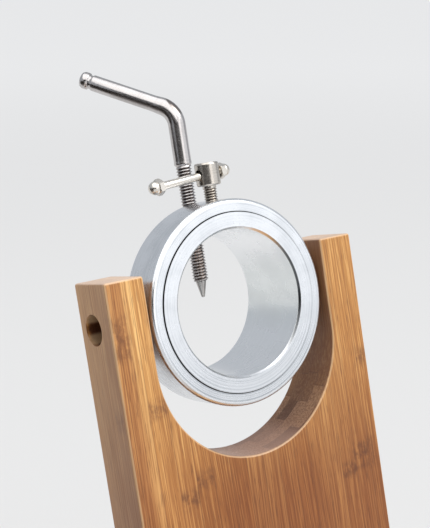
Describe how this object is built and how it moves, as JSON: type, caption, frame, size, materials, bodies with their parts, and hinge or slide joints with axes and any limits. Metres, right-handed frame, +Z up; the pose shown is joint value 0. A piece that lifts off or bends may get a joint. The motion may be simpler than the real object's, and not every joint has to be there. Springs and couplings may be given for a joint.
{
  "type": "ham holder stand",
  "caption": "Free-standing ham holder: bamboo board and leaning fork post with a tilting steel ring head, turning hock sleeve, cranked spike screw and spiked front rest.",
  "frame": {"origin": "centre of the stand's whole outline, on the counter under the feet", "axes": "+Z up, +Y from the spiked rest at the front to the fork post and the spike's handle at the rear, +X to the right seen from the front"},
  "size_m": [0.2, 0.5161, 0.3962],
  "materials": {
    "bamboo": "oiled laminated bamboo, satin",
    "dowel_wood": "plain turned",
    "foot_rubber": "matte",
    "zinc_steel": "zinc plated",
    "satin_steel": "fine turned stainless",
    "ring_steel": "polished stainless with turned front",
    "polished_steel": "bright polished",
    "nickel_steel": "bright nickel plated",
    "bolt_steel": "dark satin",
    "bearing_plastic": "matte",
    "pad_brass": "plain"
  },
  "bodies": {
    "stand": {"base_board": "bamboo", "fork_post": "bamboo", "post_screws": "zinc_steel", "post_dowels": "dowel_wood", "rubber_feet": "foot_rubber", "foot_screws": "zinc_steel", "rest_plate": "satin_steel", "rest_plate_screws": "satin_steel", "rest_spikes": "polished_steel", "spike_nuts": "zinc_steel", "pivot_bush_left": "bearing_plastic", "pivot_bush_right": "bearing_plastic"},
    "head": {"outer_ring": "ring_steel", "sleeve_bush": "bearing_plastic", "rear_thrust_washer": "bearing_plastic", "pivot_bolt_left": "bolt_steel", "pivot_bolt_right": "bolt_steel", "pivot_washer_left": "bearing_plastic", "pivot_washer_right": "bearing_plastic"},
    "sleeve": {"inner_sleeve": "satin_steel", "rear_collar": "satin_steel", "collar_screws": "zinc_steel"},
    "spike_point": {"spike_tip": "polished_steel"},
    "spike": {"spike_screw": "polished_steel"},
    "lock_point": {"lock_pad": "pad_brass"},
    "lock": {"lock_screw": "nickel_steel"},
    "bar": {"tommy_bar": "nickel_steel", "tommy_nut_left": "nickel_steel", "tommy_nut_right": "nickel_steel"}
  },
  "joints": [
    {"name": "head_tilt", "type": "hinge", "parent": "stand", "child": "head", "pos_m": [0, 0.17483, 0.29077], "axis": [1, 0, 0], "range_deg": [-5, 60]},
    {"name": "sleeve_spin", "type": "hinge", "parent": "head", "child": "sleeve", "pos_m": [0, 0.17462, 0.29], "axis": [0, 0.9659, -0.2588], "continuous": true},
    {"name": "spike_feed", "type": "slide", "parent": "sleeve", "child": "spike_point", "axis": [0, 0.2588, 0.9659], "range_m": [-0.027, 0.024]},
    {"name": "spike_turn", "type": "hinge", "parent": "spike_point", "child": "spike", "pos_m": [0, 0.20974, 0.35306], "axis": [0, 0.2588, 0.9659], "range_deg": [-6480, 5760]},
    {"name": "lock_travel", "type": "slide", "parent": "head", "child": "lock_point", "axis": [0, 0.2588, 0.9659], "range_m": [0, 0.00083333]},
    {"name": "lock_turn", "type": "hinge", "parent": "lock_point", "child": "lock", "pos_m": [0, 0.18684, 0.34605], "axis": [0, 0.2588, 0.9659], "range_deg": [0, 240]},
    {"name": "bar_slide", "type": "slide", "parent": "lock", "child": "bar", "axis": [0.9907, 0.1231, 0.0572], "range_m": [0, 0.0228]}
  ],
  "couplings": [
    {"joint": "spike_turn", "follows": "spike_feed", "rad_per_m": 4188.8},
    {"joint": "lock_turn", "follows": "lock_travel", "rad_per_m": 5026.5}
  ]
}
